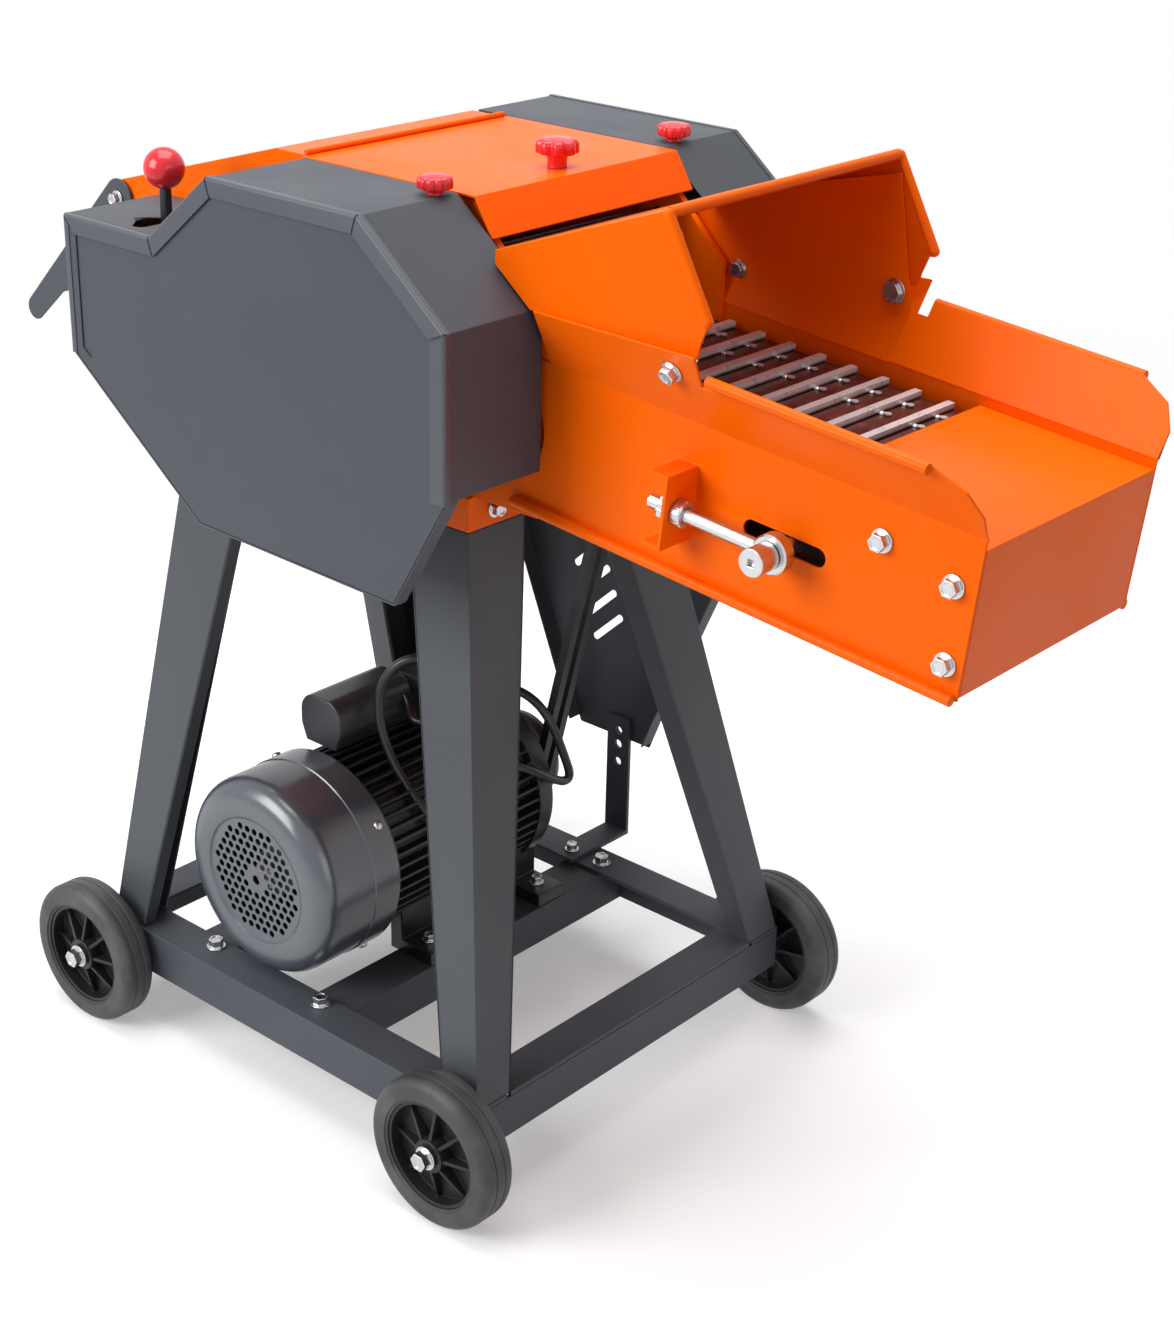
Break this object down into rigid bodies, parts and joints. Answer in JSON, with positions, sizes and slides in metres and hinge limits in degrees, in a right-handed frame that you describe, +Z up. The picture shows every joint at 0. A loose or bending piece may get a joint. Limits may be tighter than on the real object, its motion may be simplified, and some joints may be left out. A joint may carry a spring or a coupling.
{
  "type": "chaff cutter",
  "caption": "Electric chaff cutter on a wheeled stand: slat-chain feed tray, hinged lid over a knife rotor, gear and belt covers, motor below and a discharge flap.",
  "frame": {"origin": "on the floor under the middle of the overall length and width", "axes": "+X towards the front of the feed tray, +Y towards the belt side, +Z up"},
  "size_m": [0.9564, 0.4758, 0.801],
  "materials": {
    "orange_enamel": "glossy orange powder coat",
    "grey_textured": "fine-textured blue-grey powder coat",
    "leg_grey": "smooth satin dark grey powder coat",
    "bare_steel": "machined and oiled steel",
    "zinc_plate": "bright zinc plating",
    "motor_black": "gloss black enamel on a finned casting",
    "fan_cover_grey": "satin dark grey enamel",
    "slat_steel": "worn maroon primer with bright worn ridges",
    "cable_black": "black insulated cable",
    "belt_rubber": "black rubber belt",
    "tyre_rubber": "dark grey rubber",
    "rim_plastic": "black moulded plastic",
    "knob_red": "glossy red plastic",
    "capacitor_plastic": "black moulded plastic",
    "cast_grey": "grey cast iron"
  },
  "bodies": {
    "frame": {"base_side_rails": "grey_textured", "base_end_rails": "grey_textured", "motor_rails": "grey_textured", "front_legs": "leg_grey", "rear_legs": "leg_grey", "left_side_plate": "orange_enamel", "right_side_plate": "orange_enamel", "lid_bar": "orange_enamel", "chamber_floor": "orange_enamel", "rear_hood": "orange_enamel", "shear_bar": "bare_steel", "left_cover_band": "grey_textured", "left_cover_panel": "grey_textured", "right_cover_band": "grey_textured", "right_cover_panel": "grey_textured", "belt_guard": "grey_textured", "guard_strap": "grey_textured", "feed_left_wall": "orange_enamel", "feed_right_wall": "orange_enamel", "feed_apron": "orange_enamel", "feed_floor": "orange_enamel", "throat_shroud": "orange_enamel", "bolts": "zinc_plate", "lid_hinge_rod": "orange_enamel", "bearings": "bare_steel", "float_springs": "bare_steel", "gearbox_case": "cast_grey", "motor_body": "motor_black", "fan_cover": "fan_cover_grey", "capacitor_box": "capacitor_plastic", "terminal_box": "capacitor_plastic", "motor_cables": "cable_black", "slat_chain": "slat_steel", "v_belts": "belt_rubber"},
    "rotor": {"rotor_shaft": "bare_steel", "rotor_knives": "bare_steel", "main_pulley": "cast_grey"},
    "motor_rotor": {"motor_shaft": "bare_steel", "motor_fan": "capacitor_plastic", "motor_pulley": "cast_grey"},
    "feed_head": {"feed_head_shaft": "bare_steel"},
    "carriers": {"roller_carriers": "bare_steel"},
    "top_roller": {"upper_roller": "bare_steel"},
    "tensioner": {"tension_rods": "zinc_plate"},
    "idler": {"tension_shaft": "zinc_plate"},
    "lid_body": {"lid": "orange_enamel"},
    "lid_knob_body": {"lid_knob": "knob_red"},
    "left_knob_body": {"left_cover_knob": "knob_red"},
    "right_knob_body": {"right_cover_knob": "knob_red"},
    "lever_body": {"shift_lever": "motor_black", "lever_ball": "knob_red"},
    "flap_body": {"discharge_flap": "grey_textured"},
    "front_left_wheel": {"front_left_tyre": "tyre_rubber", "front_left_rim": "rim_plastic"},
    "front_right_wheel": {"front_right_tyre": "tyre_rubber", "front_right_rim": "rim_plastic"},
    "rear_left_wheel": {"rear_left_tyre": "tyre_rubber", "rear_left_rim": "rim_plastic"},
    "rear_right_wheel": {"rear_right_tyre": "tyre_rubber", "rear_right_rim": "rim_plastic"}
  },
  "joints": [
    {"name": "rotor_spin", "type": "hinge", "parent": "frame", "child": "rotor", "pos_m": [-0.09332, 0, 0.65], "axis": [0, 1, 0], "continuous": true},
    {"name": "motor_spin", "type": "hinge", "parent": "frame", "child": "motor_rotor", "pos_m": [-0.14032, 0, 0.182], "axis": [0, 1, 0], "continuous": true},
    {"name": "feed_spin", "type": "hinge", "parent": "frame", "child": "feed_head", "pos_m": [0.0779, 0, 0.6147], "axis": [0, 1, 0], "continuous": true, "deforming": ["slat_chain"]},
    {"name": "roller_float", "type": "slide", "parent": "frame", "child": "carriers", "axis": [0, 0, 1], "range_m": [0, 0.018], "stiffness_N_per_m": 1500, "springref_m": -0.03, "deforming": ["float_springs"]},
    {"name": "top_roller_spin", "type": "hinge", "parent": "carriers", "child": "top_roller", "pos_m": [0.04368, 0, 0.7], "axis": [0, 1, 0], "continuous": true},
    {"name": "chain_tension", "type": "slide", "parent": "frame", "child": "tensioner", "axis": [0.9956, 0, -0.0941], "range_m": [-0.02, 0]},
    {"name": "idler_spin", "type": "hinge", "parent": "tensioner", "child": "idler", "pos_m": [0.33058, 0, 0.59081], "axis": [0, 1, 0], "continuous": true},
    {"name": "lid_hinge", "type": "hinge", "parent": "frame", "child": "lid_body", "pos_m": [-0.12532, 0, 0.775], "axis": [0, -1, 0], "range_deg": [0, 105]},
    {"name": "lid_knob_turn", "type": "hinge", "parent": "lid_body", "child": "lid_knob_body", "pos_m": [0.02768, 0, 0.773], "axis": [0, 0, 1], "continuous": true},
    {"name": "left_knob_turn", "type": "hinge", "parent": "frame", "child": "left_knob_body", "pos_m": [0.02768, -0.126, 0.773], "axis": [0, 0, 1], "continuous": true},
    {"name": "right_knob_turn", "type": "hinge", "parent": "frame", "child": "right_knob_body", "pos_m": [0.02768, 0.134, 0.773], "axis": [0, 0, 1], "continuous": true},
    {"name": "lever_shift", "type": "hinge", "parent": "frame", "child": "lever_body", "pos_m": [-0.21632, -0.165, 0.655], "axis": [1, 0, 0], "range_deg": [0, 22]},
    {"name": "flap_tilt", "type": "hinge", "parent": "frame", "child": "flap_body", "pos_m": [-0.34532, 0, 0.704], "axis": [0, 1, 0], "range_deg": [-30, 45]},
    {"name": "front_left_wheel_spin", "type": "hinge", "parent": "frame", "child": "front_left_wheel", "pos_m": [0.11468, -0.2115, 0.0635], "axis": [0, 1, 0], "continuous": true},
    {"name": "front_right_wheel_spin", "type": "hinge", "parent": "frame", "child": "front_right_wheel", "pos_m": [0.11468, 0.2115, 0.0635], "axis": [0, 1, 0], "continuous": true},
    {"name": "rear_left_wheel_spin", "type": "hinge", "parent": "frame", "child": "rear_left_wheel", "pos_m": [-0.31132, -0.2115, 0.0635], "axis": [0, 1, 0], "continuous": true},
    {"name": "rear_right_wheel_spin", "type": "hinge", "parent": "frame", "child": "rear_right_wheel", "pos_m": [-0.31132, 0.2115, 0.0635], "axis": [0, 1, 0], "continuous": true}
  ],
  "couplings": [
    {"joint": "motor_spin", "follows": "rotor_spin", "ratio": 2.7778},
    {"joint": "top_roller_spin", "follows": "feed_spin", "ratio": -1},
    {"joint": "idler_spin", "follows": "feed_spin", "ratio": 1}
  ]
}
